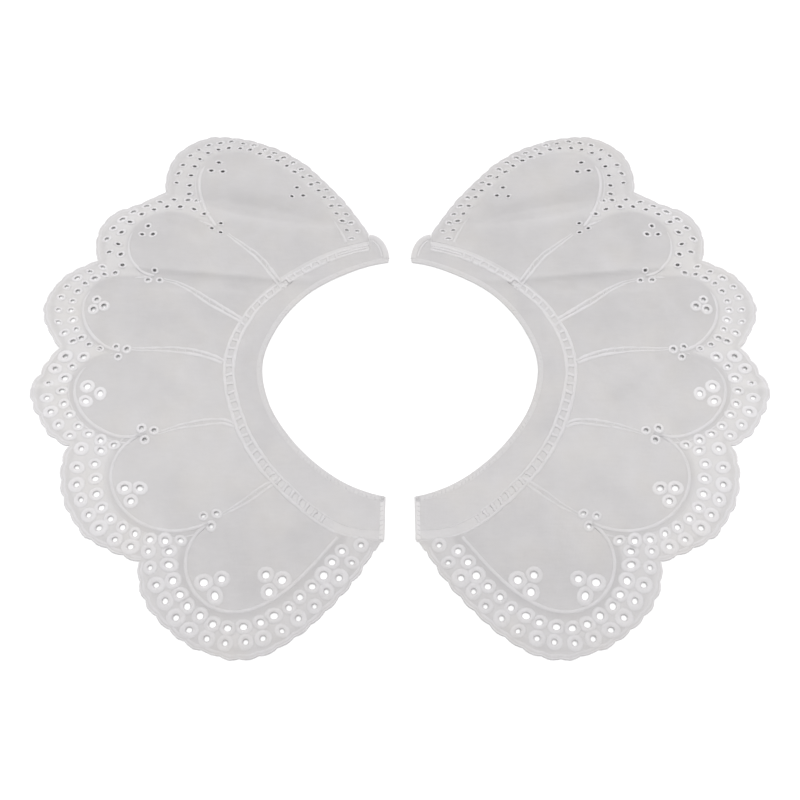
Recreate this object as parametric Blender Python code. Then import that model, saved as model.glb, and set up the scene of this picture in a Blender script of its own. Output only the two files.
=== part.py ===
# Lace collar in two mirrored halves, laid flat round one neck opening.
# Each half: an embroidered petal panel, a ladder insertion and a plain neckband.
import math
from collections import namedtuple

import bpy
from mathutils import Vector
from mathutils.geometry import delaunay_2d_cdt

for old in list(bpy.data.objects):
    bpy.data.objects.remove(old, do_unlink=True)

# ---- driving sizes, millimetres ----
mm = 0.001
seamGap = 0.3        # left open between neighbouring pieces
clothThick = 1.0     # panel and neckband cloth, plain side down
borderRise = 0.3     # embroidered border stands this much over the plain petal
lineRise = 0.8       # corded outline of each petal, over the cloth
lineHalf = 0.9       # half the foot of that cord
lineStep = 4.6       # sections along the outline cord
scallopDeep = 1.1    # scallops of the outer edge
scallopIn = 0.6      # their valleys inside the petal's oval
ladderWide = 6.0     # ladder insertion, outside to outside
ladderFloor = 0.7    # its net floor between the two cords
cordTop = 1.8        # top of the two ladder cords
cordIn = 0.8         # cord centre in from the ladder's side
hemIn = 2.2          # rolled hem ridge in from the neck edge
hemRise = 0.5
hemFoot = 1.1        # from the hem's crest down to the flat cloth
frontX = 8.2         # front ends of the halves, from the middle line
cornerX = 9.6        # front corner of the panel, a little further out
backX = 18.0         # back ends of panel and ladder, where the neckband passes them
tipX = 6.8           # back tip of each half
tipTall = 16.8       # rounded back tip of the neckband
ladderCount = 46     # sections along the ladder and the seams beside it
holeSides = 8        # corners of a cut eyelet
cordClear = 0.7      # the outline cord stops this far short of an eyelet

# ---- neck side: distance from the middle of the neck at each bearing ----
# bearing: degrees up from the side of the half
Bearing = namedtuple("Bearing", "bearing neck ladder")
neckRows = [
    Bearing(84, 69.5, 81.0),
    Bearing(62, 69.3, 82.8),
    Bearing(42, 72.2, 86.4),
    Bearing(22, 75.0, 92.2),
    Bearing(5, 76.8, 94.3),
    Bearing(-12, 74.2, 91.4),
    Bearing(-32, 69.9, 88.8),
    Bearing(-50, 68.2, 88.0),
    Bearing(-70, 68.8, 91.0),
    Bearing(-86, 69.9, 89.4),
]

# ---- petals, back to front: oval of the outer edge and of the corded outline ----
# egg: how much wider the oval is at the far end of its long axis
Oval = namedtuple("Oval", "x y long wide turn egg")
petalEdges = [
    Oval(-75.6, 86.0, 79.9, 47.9, -48.8, 0.0),
    Oval(-129.5, 87.1, 46.1, 26.7, 8.0, 0.0),
    Oval(-162.6, 38.8, 36.7, 30.3, -6.8, 0.0),
    Oval(-114.8, -13.3, 84.9, 47.9, -4.0, 0.0),
    Oval(-103.1, -42.1, 77.3, 60.4, 19.5, 0.0),
    Oval(-66.0, -80.4, 74.1, 57.2, 28.2, -0.35),
]
petalLines = [
    Oval(-72.5, 95.3, 57.5, 28.1, -45.4, -0.1),
    Oval(-132.3, 78.3, 23.9, 21.6, -19.7, 0.0),
    Oval(-153.3, 35.2, 26.1, 20.9, -39.5, 0.0),
    Oval(-144.6, -12.9, 32.8, 22.8, -20.4, 0.0),
    Oval(-121.9, -60.0, 31.1, 25.7, -26.3, 0.0),
    Oval(-64.4, -90.7, 47.2, 25.9, 31.7, -0.4),
]
# notches between the petals' outer edges, first and last are the two ends
notches = [(-18.0, 87.4), (-137.8, 115.2), (-173.6, 70.4), (-189.0, 15.6),
           (-175.8, -41.2), (-132.0, -102.6), (-12.6, -96.6)]
# where the outlines meet, first and last are on the ladder
joints = [(-31.0, 81.5), (-106.5, 91.0), (-139.5, 59.5), (-154.0, 13.0),
          (-135.0, -34.0), (-98.5, -83.0), (-31.0, -90.5)]

# ---- eyelet rows: bearing of the first and last eyelet seen from the petal's hub ----
Rows = namedtuple("Rows", "hubX hubY scallops inners inA inB outers outA outB hole")
petalRows = [
    Rows(-73.2, 95.7, 22, 24, -15, 161, 23, -9, 157, 2.6),
    Rows(-132.3, 78.3, 8, 10, 49, 192, 9, 76, 185, 2.9),
    Rows(-153.3, 35.2, 9, 12, 107, 239, 9, 119, 210, 2.9),
    Rows(-144.6, -12.9, 8, 10, 142, 256, 7, 149, 216, 3.3),
    Rows(-121.9, -60.0, 9, 11, 156, 287, 9, 160, 260, 3.6),
    Rows(-72.0, -90.0, 17, 17, 188, 351, 16, 196, 355, 3.8),
]
innerShare, outerShare = 0.30, 0.62    # place of the rows across the border
Group = namedtuple("Group", "x y turn spread hole")
tipGroups = [    # groups of three eyelets inside the front petals
    Group(-167.2, -11.6, 1, 4.9, 3.2),
    Group(-139.5, -66.5, 29, 4.6, 3.4),
    Group(-93.7, -114.5, 42, 5.2, 3.9),
    Group(-64.2, -112.8, 13, 5.0, 3.8),
]


def smooth(rows, column, at):
    # soft curve through the rows of a table, bearings falling
    xs = [-row.bearing for row in rows]
    ys = [getattr(row, column) for row in rows]
    at = min(max(-at, xs[0]), xs[-1])
    k = max(i for i in range(len(xs) - 1) if xs[i] <= at)
    slopes = []
    for i in (k, k + 1):
        a, b = max(i - 1, 0), min(i + 1, len(xs) - 1)
        slopes.append((ys[b] - ys[a]) / (xs[b] - xs[a]))
    wide = xs[k + 1] - xs[k]
    t = (at - xs[k]) / wide
    return (ys[k] * (1 + 2 * t) * (1 - t) ** 2 + slopes[0] * wide * t * (1 - t) ** 2
            + ys[k + 1] * t * t * (3 - 2 * t) + slopes[1] * wide * t * t * (t - 1))


def polar(radius, bearing):
    a = math.radians(bearing)
    return -radius * math.cos(a), radius * math.sin(a)


def neckPoint(bearing):
    return polar(smooth(neckRows, "neck", bearing), bearing)


def ladderPoint(bearing, offset):
    return polar(smooth(neckRows, "ladder", bearing) + offset, bearing)


def bearingAtX(x, offset, sign):
    # bearing where the ladder line reaches the end line x = -x
    low, high = 60.0, 89.0
    for _ in range(40):
        mid = (low + high) / 2
        if -ladderPoint(sign * mid, offset)[0] > x:
            low = mid
        else:
            high = mid
    return sign * low


def ovalPoint(oval, angle):
    turn = math.radians(oval.turn)
    u, v = oval.long * math.cos(angle), oval.wide * math.sin(angle)
    v *= 1 + oval.egg * math.cos(angle)
    return (oval.x + u * math.cos(turn) - v * math.sin(turn),
            oval.y + u * math.sin(turn) + v * math.cos(turn))


def ovalAngle(oval, point):
    # place on the oval nearest to a point
    tries = [2 * math.pi * i / 720 for i in range(720)]
    return min(tries, key=lambda angle: math.dist(ovalPoint(oval, angle), point))


def ovalArc(oval, start, end, steps=240):
    # dense arc of the oval, eased on to its two end points
    a, b = ovalAngle(oval, start), ovalAngle(oval, end)
    if b < a:
        b += 2 * math.pi
    pull = [(p[0] - q[0], p[1] - q[1])
            for p, q in ((start, ovalPoint(oval, a)), (end, ovalPoint(oval, b)))]
    points = []
    for i in range(steps + 1):
        t = i / steps
        x, y = ovalPoint(oval, a + (b - a) * t)
        near, far = (1 - t) ** 14, t ** 14
        points.append((x + pull[0][0] * near + pull[1][0] * far,
                       y + pull[0][1] * near + pull[1][1] * far))
    return points


def rayTo(oval, hub, angle):
    # distance from the hub to the oval along a bearing
    ring = [ovalPoint(oval, 2 * math.pi * i / 360) for i in range(361)]
    for p, q in zip(ring, ring[1:]):
        a, b = (math.remainder(math.atan2(y - hub[1], x - hub[0]) - angle, 2 * math.pi)
                for x, y in (p, q))
        if a <= 0.0 < b < a + 1.0:
            t = -a / (b - a)
            return math.dist(hub, p) * (1 - t) + math.dist(hub, q) * t
    raise ValueError("the hub lies outside its oval")


def borderPoint(petal, share, degrees):
    row, angle = petalRows[petal], math.radians(degrees)
    hub = (row.hubX, row.hubY)
    line = rayTo(petalLines[petal], hub, angle)
    edge = rayTo(petalEdges[petal], hub, angle)
    reach = line + share * (edge - line)
    return hub[0] + reach * math.cos(angle), hub[1] + reach * math.sin(angle)


def spaced(points, count, closedEnds=True):
    # count points at even distances along a dense line
    run = [0.0]
    for p, q in zip(points, points[1:]):
        run.append(run[-1] + math.dist(p, q))
    picked, k = [], 0
    for i in range(count):
        want = run[-1] * (i / (count - 1) if closedEnds else (i + 0.5) / count)
        while k < len(run) - 2 and run[k + 1] < want:
            k += 1
        t = (want - run[k]) / max(run[k + 1] - run[k], 1e-9)
        picked.append((points[k][0] + (points[k + 1][0] - points[k][0]) * t,
                       points[k][1] + (points[k + 1][1] - points[k][1]) * t))
    return picked


def moved(points, distance):
    # the line moved sideways, to the right of its direction
    result = []
    for i, p in enumerate(points):
        a, b = points[max(i - 1, 0)], points[min(i + 1, len(points) - 1)]
        dx, dy = b[0] - a[0], b[1] - a[1]
        size = math.hypot(dx, dy) or 1.0
        result.append((p[0] + dy / size * distance, p[1] - dx / size * distance))
    return result


def outerEdge():
    edge = []
    for k, oval in enumerate(petalEdges):
        arc = ovalArc(oval, notches[k], notches[k + 1])
        bumps = petalRows[k].scallops
        perBump = 3
        middle = spaced(arc, bumps * perBump + 1)
        base, outer = moved(middle, -scallopIn), moved(middle, scallopDeep - scallopIn)
        for i in range(bumps * perBump):
            lift = abs(math.sin(math.pi * i / perBump)) ** 0.7
            edge.append((base[i][0] + (outer[i][0] - base[i][0]) * lift,
                         base[i][1] + (outer[i][1] - base[i][1]) * lift))
    edge.append(notches[-1])
    return edge


def eyelets():
    # centres and sizes of the cut eyelets of one half
    found = []
    for k, row in enumerate(petalRows):
        courses = [(innerShare, row.inners, row.inA, row.inB)]
        if k > 0:
            courses.append((outerShare, row.outers, row.outA, row.outB))
        for share, count, start, end in courses:
            dense = [borderPoint(k, share, start + (end - start) * i / 160) for i in range(161)]
            found += [(p, row.hole) for p in spaced(dense, count)]
    for group in tipGroups:
        for i in range(3):
            a = math.radians(group.turn + 120 * i)
            found.append(((group.x + group.spread * math.cos(a),
                           group.y + group.spread * math.sin(a)), group.hole))
    return found


def inside(ring, x, y):
    hit = False
    for (ax, ay), (bx, by) in zip(ring, ring[1:] + ring[:1]):
        if (ay > y) != (by > y) and x < ax + (y - ay) / (by - ay) * (bx - ax):
            hit = not hit
    return hit


def triangulate(points, ringIds, ringOf, outline):
    edges = [(ring[i], ring[(i + 1) % len(ring)]) for ring in ringIds for i in range(len(ring))]
    result = delaunay_2d_cdt([Vector(p) for p in points], edges, [], 0, 1e-6)
    source = [min(ids) if ids else -1 for ids in result[3]]
    kept = []
    for face in result[2]:
        a, b, c = (source[i] for i in face)
        if min(a, b, c) < 0:
            raise ValueError("lines cross in " + str(outline[0]))
        if ringOf[a] == ringOf[b] == ringOf[c] and ringOf[a] > 0:
            continue
        x = (points[a][0] + points[b][0] + points[c][0]) / 3
        y = (points[a][1] + points[b][1] + points[c][1]) / 3
        if inside(outline, x, y):
            kept.append((a, b, c))
    return kept


def plate(name, outline, holes, rows, topAt, look):
    # one closed sheet: plain face down, outer points raised on the upper face
    points, ringIds, ringOf = list(outline), [list(range(len(outline)))], [0] * len(outline)
    for number, hole in enumerate(holes, 1):
        ringIds.append(list(range(len(points), len(points) + len(hole))))
        points += hole
        ringOf += [number] * len(hole)
    border = len(points)
    lower = triangulate(points, ringIds, ringOf, outline)
    extra = [p for row in rows for p in row]
    upper = triangulate(points + extra, ringIds, ringOf + [-1] * len(extra), outline)
    coords = [(p[0], p[1], 0.0) for p in points]
    coords += [(p[0], p[1], topAt(p, i < border)) for i, p in enumerate(points + extra)]
    faces = [(c, b, a) for a, b, c in lower]
    faces += [(a + border, b + border, c + border) for a, b, c in upper]
    smoothFrom, smoothTo = len(lower), len(faces)
    for ring in ringIds:
        for i, a in enumerate(ring):
            b = ring[(i + 1) % len(ring)]
            faces += [(a, b, b + border), (a, b + border, a + border)]
    for side, sign in (("left", 1), ("right", -1)):
        mesh = bpy.data.meshes.new(name + "_" + side)
        turned = faces if sign > 0 else [tuple(reversed(face)) for face in faces]
        mesh.from_pydata([(sign * x * mm, (y - middleY) * mm, z * mm) for x, y, z in coords],
                         [], turned)
        for number, polygon in enumerate(mesh.polygons):
            polygon.use_smooth = smoothFrom <= number < smoothTo
        mesh.materials.append(look)
        mesh.update()
        body = bpy.data.objects.new(name + "_" + side, mesh)
        bpy.context.scene.collection.objects.link(body)


def cloth(name, color, roughness):
    look = bpy.data.materials.new(name)
    look.use_nodes = True
    shader = look.node_tree.nodes["Principled BSDF"]
    shader.inputs["Base Color"].default_value = (*color, 1.0)
    shader.inputs["Roughness"].default_value = roughness
    return look


# ---- the panel: petals in one cloth, eyelets cut through ----
edgeLine = outerEdge()
highest, lowest = max(p[1] for p in edgeLine), min(p[1] for p in edgeLine)
middleY = (highest + lowest) / 2
panelSide = ladderWide / 2 + seamGap


def seamLine(offset, front, back):
    # a line at one distance from the ladder's middle, from the front end to the back end
    low, high = bearingAtX(front, offset, -1), bearingAtX(back, offset, 1)
    return [ladderPoint(low + (high - low) * i / ladderCount, offset)
            for i in range(ladderCount + 1)]


ladderSide = seamLine(panelSide, cornerX, backX)
panelOutline = edgeLine + ladderSide

cutEyelets = eyelets()
holes = []
for (x, y), size in cutEyelets:
    holes.append([(x + size / 2 * math.cos(-2 * math.pi * (i + 0.5) / holeSides),
                   y + size / 2 * math.sin(-2 * math.pi * (i + 0.5) / holeSides))
                  for i in range(holeSides)])

cordRows, crest = [], set()
for k, oval in enumerate(petalLines):
    arc = ovalArc(oval, joints[k], joints[k + 1])
    length = sum(math.dist(p, q) for p, q in zip(arc, arc[1:]))
    middle = spaced(arc, round(length / lineStep), False)
    for offset in (-lineHalf, 0.0, lineHalf):
        row = moved(middle, offset)
        row = [p for p in row
               if min(math.dist(p, c) - size / 2 for c, size in cutEyelets) > cordClear]
        if offset == 0.0:
            crest.update(row)
        cordRows.append(row)
petalRings = [ovalArc(oval, joints[k], joints[k + 1], 40) for k, oval in enumerate(petalLines)]
fieldRing = [p for ring in petalRings for p in ring] + [(-60.0, 0.0)]


def panelTop(point, onBorder):
    if point in crest:
        return clothThick + lineRise
    return clothThick + (0.0 if inside(fieldRing, *point) else borderRise)


cotton = cloth("white_cotton_lawn", (0.80, 0.79, 0.79), 0.9)
plate("panel", panelOutline, holes, cordRows, panelTop, cotton)

# ---- the ladder insertion: two cords on a net floor ----
def ladderRow(offset):
    return seamLine(offset, frontX + seamGap, backX)


half = ladderWide / 2
crests = ladderRow(half - cordIn) + ladderRow(-half + cordIn)
feet = [ladderRow(half - 2 * cordIn), ladderRow(-half + 2 * cordIn)]
crestSet = set(crests[1:ladderCount] + crests[ladderCount + 2:-1])
ladderRing = list(reversed(ladderRow(half))) + ladderRow(-half)


def ladderTop(point, onBorder):
    return cordTop if point in crestSet else clothThick if onBorder else ladderFloor


thread = cloth("white_cotton_thread", (0.86, 0.85, 0.85), 0.8)
plate("ladder", ladderRing, [],
      [sorted(crestSet, key=crests.index)] + [row[1:-1] for row in feet], ladderTop, thread)

# ---- the neckband: plain strip with a rolled hem, rounded at the back tip ----
bandSide = -ladderWide / 2 - seamGap
bandCount = 40
neckFront, neckBack = -83.3, 84.4    # bearings of the neck edge's two ends
bandBackX = backX - seamGap
bandLadder = seamLine(bandSide, frontX, bandBackX)
neckEdge = [neckPoint(neckBack + (neckFront - neckBack) * i / bandCount)
            for i in range(bandCount + 1)]
neckEdge[0] = (-tipX, neckEdge[0][1])
neckEdge[-1] = (-frontX, neckEdge[-1][1])
tip = [(-bandBackX + (bandBackX - tipX) * math.sin(math.radians(a)),
        neckEdge[0][1] + tipTall * math.cos(math.radians(a))) for a in range(0, 90, 15)]
bandRing = list(reversed(neckEdge + bandLadder + tip))
frontHem = [(-frontX - hemIn, neckEdge[-1][1] - step) for step in (4.5, 7.5, 10.5, 13.5)]
hemCrest = moved(neckEdge, hemIn)[1:-1] + frontHem
hemFootRow = moved(neckEdge, hemIn + hemFoot)[2:-2]
hemSet = set(hemCrest)


def bandTop(point, onBorder):
    return clothThick + (hemRise if point in hemSet else 0.0)


plate("neckband", bandRing, [], [hemCrest, hemFootRow], bandTop,
      cloth("white_cotton_band", (0.82, 0.81, 0.81), 0.9))
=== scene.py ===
# Lace collar in two mirrored halves: the looks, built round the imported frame.
import math
import random
from collections import namedtuple

import bpy
import numpy as np
from mathutils import Matrix, Vector
from mathutils.geometry import delaunay_2d_cdt
from mathutils.kdtree import KDTree


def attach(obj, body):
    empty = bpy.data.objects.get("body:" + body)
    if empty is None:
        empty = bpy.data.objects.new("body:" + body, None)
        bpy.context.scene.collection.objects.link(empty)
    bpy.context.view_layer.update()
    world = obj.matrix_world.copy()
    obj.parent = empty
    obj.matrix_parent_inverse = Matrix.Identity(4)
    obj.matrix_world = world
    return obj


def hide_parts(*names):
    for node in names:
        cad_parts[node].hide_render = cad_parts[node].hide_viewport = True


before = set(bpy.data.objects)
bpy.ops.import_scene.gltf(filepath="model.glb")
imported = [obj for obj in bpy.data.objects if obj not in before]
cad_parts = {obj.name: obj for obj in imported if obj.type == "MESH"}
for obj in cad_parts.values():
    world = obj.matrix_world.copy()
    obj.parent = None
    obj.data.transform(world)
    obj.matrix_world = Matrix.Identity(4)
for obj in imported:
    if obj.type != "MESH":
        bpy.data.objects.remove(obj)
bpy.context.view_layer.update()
mm = 0.001

# ---- the cut of one half, in millimetres, left half, neck opening on the right ----
Oval = namedtuple("Oval", "x y long wide turn egg")
Rows = namedtuple("Rows", "hubX hubY scallops inners inA inB outers outA outB hole")
Petal = namedtuple("Petal", "edge line rows satin")
petals = [    # back to front: outer oval, corded outline, eyelet rows, width of the satin edge
    Petal(Oval(-75.6, 86.0, 79.9, 47.9, -48.8, 0.0), Oval(-72.5, 95.3, 57.5, 28.1, -45.4, -0.1),
          Rows(-73.2, 95.7, 22, 24, -15, 161, 23, -9, 157, 2.6), 1.9),
    Petal(Oval(-129.5, 87.1, 46.1, 26.7, 8.0, 0.0), Oval(-132.3, 78.3, 23.9, 21.6, -19.7, 0.0),
          Rows(-132.3, 78.3, 8, 10, 49, 192, 9, 76, 185, 2.9), 2.2),
    Petal(Oval(-162.6, 38.8, 36.7, 30.3, -6.8, 0.0), Oval(-153.3, 35.2, 26.1, 20.9, -39.5, 0.0),
          Rows(-153.3, 35.2, 9, 12, 107, 239, 9, 119, 210, 2.9), 2.3),
    Petal(Oval(-114.8, -13.3, 84.9, 47.9, -4.0, 0.0), Oval(-144.6, -12.9, 32.8, 22.8, -20.4, 0.0),
          Rows(-144.6, -12.9, 8, 10, 142, 256, 7, 149, 216, 3.3), 2.3),
    Petal(Oval(-103.1, -42.1, 77.3, 60.4, 19.5, 0.0), Oval(-121.9, -60.0, 31.1, 25.7, -26.3, 0.0),
          Rows(-121.9, -60.0, 9, 11, 156, 287, 9, 160, 260, 3.6), 2.6),
    Petal(Oval(-66.0, -80.4, 74.1, 57.2, 28.2, -0.35), Oval(-64.4, -90.7, 47.2, 25.9, 31.7, -0.4),
          Rows(-72.0, -90.0, 17, 17, 188, 351, 16, 196, 355, 3.8), 2.6),
]
notches = [(-18.0, 87.4), (-137.8, 115.2), (-173.6, 70.4), (-189.0, 15.6),
           (-175.8, -41.2), (-132.0, -102.6), (-12.6, -96.6)]
joints = [(-31.0, 81.5), (-106.5, 91.0), (-139.5, 59.5), (-154.0, 13.0),
          (-135.0, -34.0), (-98.5, -83.0), (-31.0, -90.5)]
# neck side: bearing up from the side, radius of the neck edge, radius of the ladder
neckRows = [(84, 69.5, 81.0), (62, 69.3, 82.8), (42, 72.2, 86.4), (22, 75.0, 92.2),
            (5, 76.8, 94.3), (-12, 74.2, 91.4), (-32, 69.9, 88.8), (-50, 68.2, 88.0),
            (-70, 68.8, 91.0), (-86, 69.9, 89.4)]
neckColumn, ladderColumn = 1, 2
cut = {
    "seamGap": 0.3, "lap": 0.25,             # the cloth laps over the ladder's edges
    "scallopDeep": 1.1, "scallopIn": 0.6,    # height of a scallop, and its valley in the oval
    "frontIn": 0.4,                          # more of it on the front petals
    "perBump": 9, "backPetals": 3,           # stations a scallop; petals of the back half
    "backBumps": (0.25, 0.85), "frontBumps": (0.45, 1.15),    # shallower scallops at the back
    "ragged": (0.82, 1.12), "seed": 31,      # how uneven their stitches are
    "ladderWide": 6.0,
    "frontX": 8.2, "cornerX": 9.6, "backX": 18.0, "tipX": 6.8, "tipTall": 16.8,
    "neckFront": -83.3, "neckBack": 84.4,
    "innerShare": 0.31, "outerShare": 0.66,
}


def softRow(column, bearing):
    xs = [-row[0] for row in neckRows]
    ys = [row[column] for row in neckRows]
    at = min(max(-bearing, xs[0]), xs[-1])
    k = max(i for i in range(len(xs) - 1) if xs[i] <= at)
    slopes = []
    for i in (k, k + 1):
        a, b = max(i - 1, 0), min(i + 1, len(xs) - 1)
        slopes.append((ys[b] - ys[a]) / (xs[b] - xs[a]))
    wide = xs[k + 1] - xs[k]
    t = (at - xs[k]) / wide
    return (ys[k] * (1 + 2 * t) * (1 - t) ** 2 + slopes[0] * wide * t * (1 - t) ** 2
            + ys[k + 1] * t * t * (3 - 2 * t) + slopes[1] * wide * t * t * (t - 1))


def polar(radius, bearing):
    a = math.radians(bearing)
    return -radius * math.cos(a), radius * math.sin(a)


def ladderPoint(bearing, offset):
    return polar(softRow(ladderColumn, bearing) + offset, bearing)


def ladderLine(offset, front, back, count):
    # a line beside the ladder's middle, from the front end line to the back end line
    ends = []
    for x, sign in ((front, -1), (back, 1)):
        low, high = 60.0, 89.0    # bearings on either side of the end
        for _ in range(40):
            mid = (low + high) / 2
            if -ladderPoint(sign * mid, offset)[0] > x:
                low = mid
            else:
                high = mid
        ends.append(sign * low)
    return [ladderPoint(ends[0] + (ends[1] - ends[0]) * i / count, offset)
            for i in range(count + 1)]


def ovalPoint(oval, angle):
    turn = math.radians(oval.turn)
    u, v = oval.long * math.cos(angle), oval.wide * math.sin(angle)
    v *= 1 + oval.egg * math.cos(angle)
    return (oval.x + u * math.cos(turn) - v * math.sin(turn),
            oval.y + u * math.sin(turn) + v * math.cos(turn))


def ovalArc(oval, start, end, steps=240):
    # arc of the oval, eased on to its two end points
    tries = [2 * math.pi * i / 720 for i in range(720)]
    a, b = (min(tries, key=lambda angle: math.dist(ovalPoint(oval, angle), point))
            for point in (start, end))
    if b < a:
        b += 2 * math.pi
    pull = [(p[0] - q[0], p[1] - q[1])
            for p, q in ((start, ovalPoint(oval, a)), (end, ovalPoint(oval, b)))]
    points = []
    for i in range(steps + 1):
        t = i / steps
        x, y = ovalPoint(oval, a + (b - a) * t)
        near, far = (1 - t) ** 14, t ** 14
        points.append((x + pull[0][0] * near + pull[1][0] * far,
                       y + pull[0][1] * near + pull[1][1] * far))
    return points


def rayTo(ring, hub, angle):
    # distance from the hub to the ring of points along a bearing
    for p, q in zip(ring, ring[1:]):
        a, b = (math.remainder(math.atan2(y - hub[1], x - hub[0]) - angle, 2 * math.pi)
                for x, y in (p, q))
        if a <= 0.0 < b < a + 1.0:
            t = -a / (b - a)
            return math.dist(hub, p) * (1 - t) + math.dist(hub, q) * t
    raise ValueError("the hub lies outside its oval")


def spaced(points, count, closedEnds=True):
    # count points at even distances along a dense line
    run = [0.0]
    for p, q in zip(points, points[1:]):
        run.append(run[-1] + math.dist(p, q))
    picked, k = [], 0
    for i in range(count):
        want = run[-1] * (i / (count - 1) if closedEnds else (i + 0.5) / count)
        while k < len(run) - 2 and run[k + 1] < want:
            k += 1
        t = (want - run[k]) / max(run[k + 1] - run[k], 1e-9)
        picked.append(tuple(a + (b - a) * t for a, b in zip(points[k], points[k + 1])))
    return picked


def lengthOf(points):
    return sum(math.dist(p, q) for p, q in zip(points, points[1:]))


def moved(points, distance):
    # the line moved sideways, to the right of its direction
    result = []
    for i, p in enumerate(points):
        a, b = points[max(i - 1, 0)], points[min(i + 1, len(points) - 1)]
        dx, dy = b[0] - a[0], b[1] - a[1]
        size = math.hypot(dx, dy) or 1.0
        step = distance[i] if isinstance(distance, list) else distance
        result.append((p[0] + dy / size * step, p[1] - dx / size * step))
    return result


def softLine(points, step):
    # smooth curve through given points, sampled every step
    p = np.array([points[0]] + list(points) + [points[-1]], float)
    dense = []
    for i in range(1, len(p) - 2):
        for t in np.linspace(0, 1, 12, endpoint=False):
            a = 2 * p[i] + (p[i + 1] - p[i - 1]) * t
            b = (2 * p[i - 1] - 5 * p[i] + 4 * p[i + 1] - p[i + 2]) * t * t
            c = (3 * p[i] - p[i - 1] - 3 * p[i + 1] + p[i + 2]) * t ** 3
            dense.append(tuple((a + b + c) / 2))
    dense.append(tuple(p[-1]))
    return spaced(dense, max(round(lengthOf(dense) / step), 2) + 1)


def valuesAt(places, values):
    # listed values, evenly spread from 0 to 1
    return np.interp(places, np.linspace(0, 1, len(values)), values)


def fullness(line, values):
    # the same, for each point of a line
    return valuesAt(np.linspace(0, 1, len(line)), values).tolist()


def between(first, second, shares):
    # a line part of the way from one line to another
    return [(a[0] + (b[0] - a[0]) * t, a[1] + (b[1] - a[1]) * t)
            for a, b, t in zip(first, second, shares)]


def axes(points):
    return np.array([p[0] for p in points]), np.array([p[1] for p in points])


# how far each petal's edge, cut by hand, wanders off its oval, along it
wander = [[0.2, -0.2, -0.2, 0.8, 0.1, -0.4, 0.6, 0.8, 0.4],
          [0.5, 0.2, -0.9, -0.2, 1.4, 0.9, 0.1, 0.4, 0.0],
          [-0.5, -0.1, 0.1, 0.0, 0.1, 0.6, 0.2, 0.1, -0.5],
          [-0.5, -0.5, -1.1, 1.3, 0.1, -0.8, -0.1, 0.0, 0.6],
          [0.7, 0.1, -0.1, -0.1, 0.1, 0.6, -0.5, -0.7, 0.2],
          [1.2, 1.2, -0.3, -0.5, 0.9, -0.4, -0.9, -0.3, 0.0]]


def scallopLines(petal, k):
    # valley line, scalloped outer line and lift of each station, along one petal's edge
    arc = ovalArc(petal.edge, notches[k], notches[k + 1])
    step, behind = cut["perBump"], k < cut["backPetals"]
    count = petal.rows.scallops * step
    middle = spaced(arc, count + 1)
    middle = moved(middle, fullness(middle, wander[k]))
    valley = cut["scallopIn"] + (0.0 if behind else cut["frontIn"])
    draw = random.Random(k + cut["seed"])    # no two scallops alike
    full = [draw.uniform(*cut["backBumps" if behind else "frontBumps"])
            for _ in range(petal.rows.scallops + 1)]
    lifts = [abs(math.sin(math.pi * i / step)) ** 0.8 * full[i // step]
             * draw.uniform(*cut["ragged"]) for i in range(count + 1)]
    outer = moved(middle, [cut["scallopDeep"] * lift - valley for lift in lifts])
    return moved(middle, -valley), outer, lifts


edgeLine = []
for k, petal in enumerate(petals):
    edgeLine += scallopLines(petal, k)[1][:-1]
edgeLine.append(notches[-1])
middleY = (max(p[1] for p in edgeLine) + min(p[1] for p in edgeLine)) / 2
outlines = [ovalArc(petal.line, joints[k], joints[k + 1]) for k, petal in enumerate(petals)]
# three of them drift off their ovals: outwards, along each
drifts = {3: [0.0, 0.0, 0.0, 0.4, 1.1, 1.0, 0.0], 4: [0.0, -0.5, -0.5, -0.3, 0.0],
          5: [0.0, 0.1, 0.1, -0.6, -1.2, -1.2, -1.0]}
for k, drift in drifts.items():
    outlines[k] = moved(outlines[k], fullness(outlines[k], drift))
# how strongly each corded outline stands, along it: the back petals' upper sides are nearly flat
strengths = [[0.95, 0.6, 0.15, 0.1, 0.1, 0.35, 0.9, 1.0, 1.0],
             [0.9, 0.35, 0.15, 0.7, 0.85, 1.0], [0.8, 0.35, 0.8, 1.0, 1.0],
             [0.4, 0.7, 1.0, 1.0, 1.0], [0.9, 1.0, 1.0], [1.0, 1.0, 1.0]]
fieldRing = [p for line in outlines for p in line[::6]] + [(-60.0, 0.0)]
print("cut drawn, middle at", round(middleY, 2))

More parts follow.
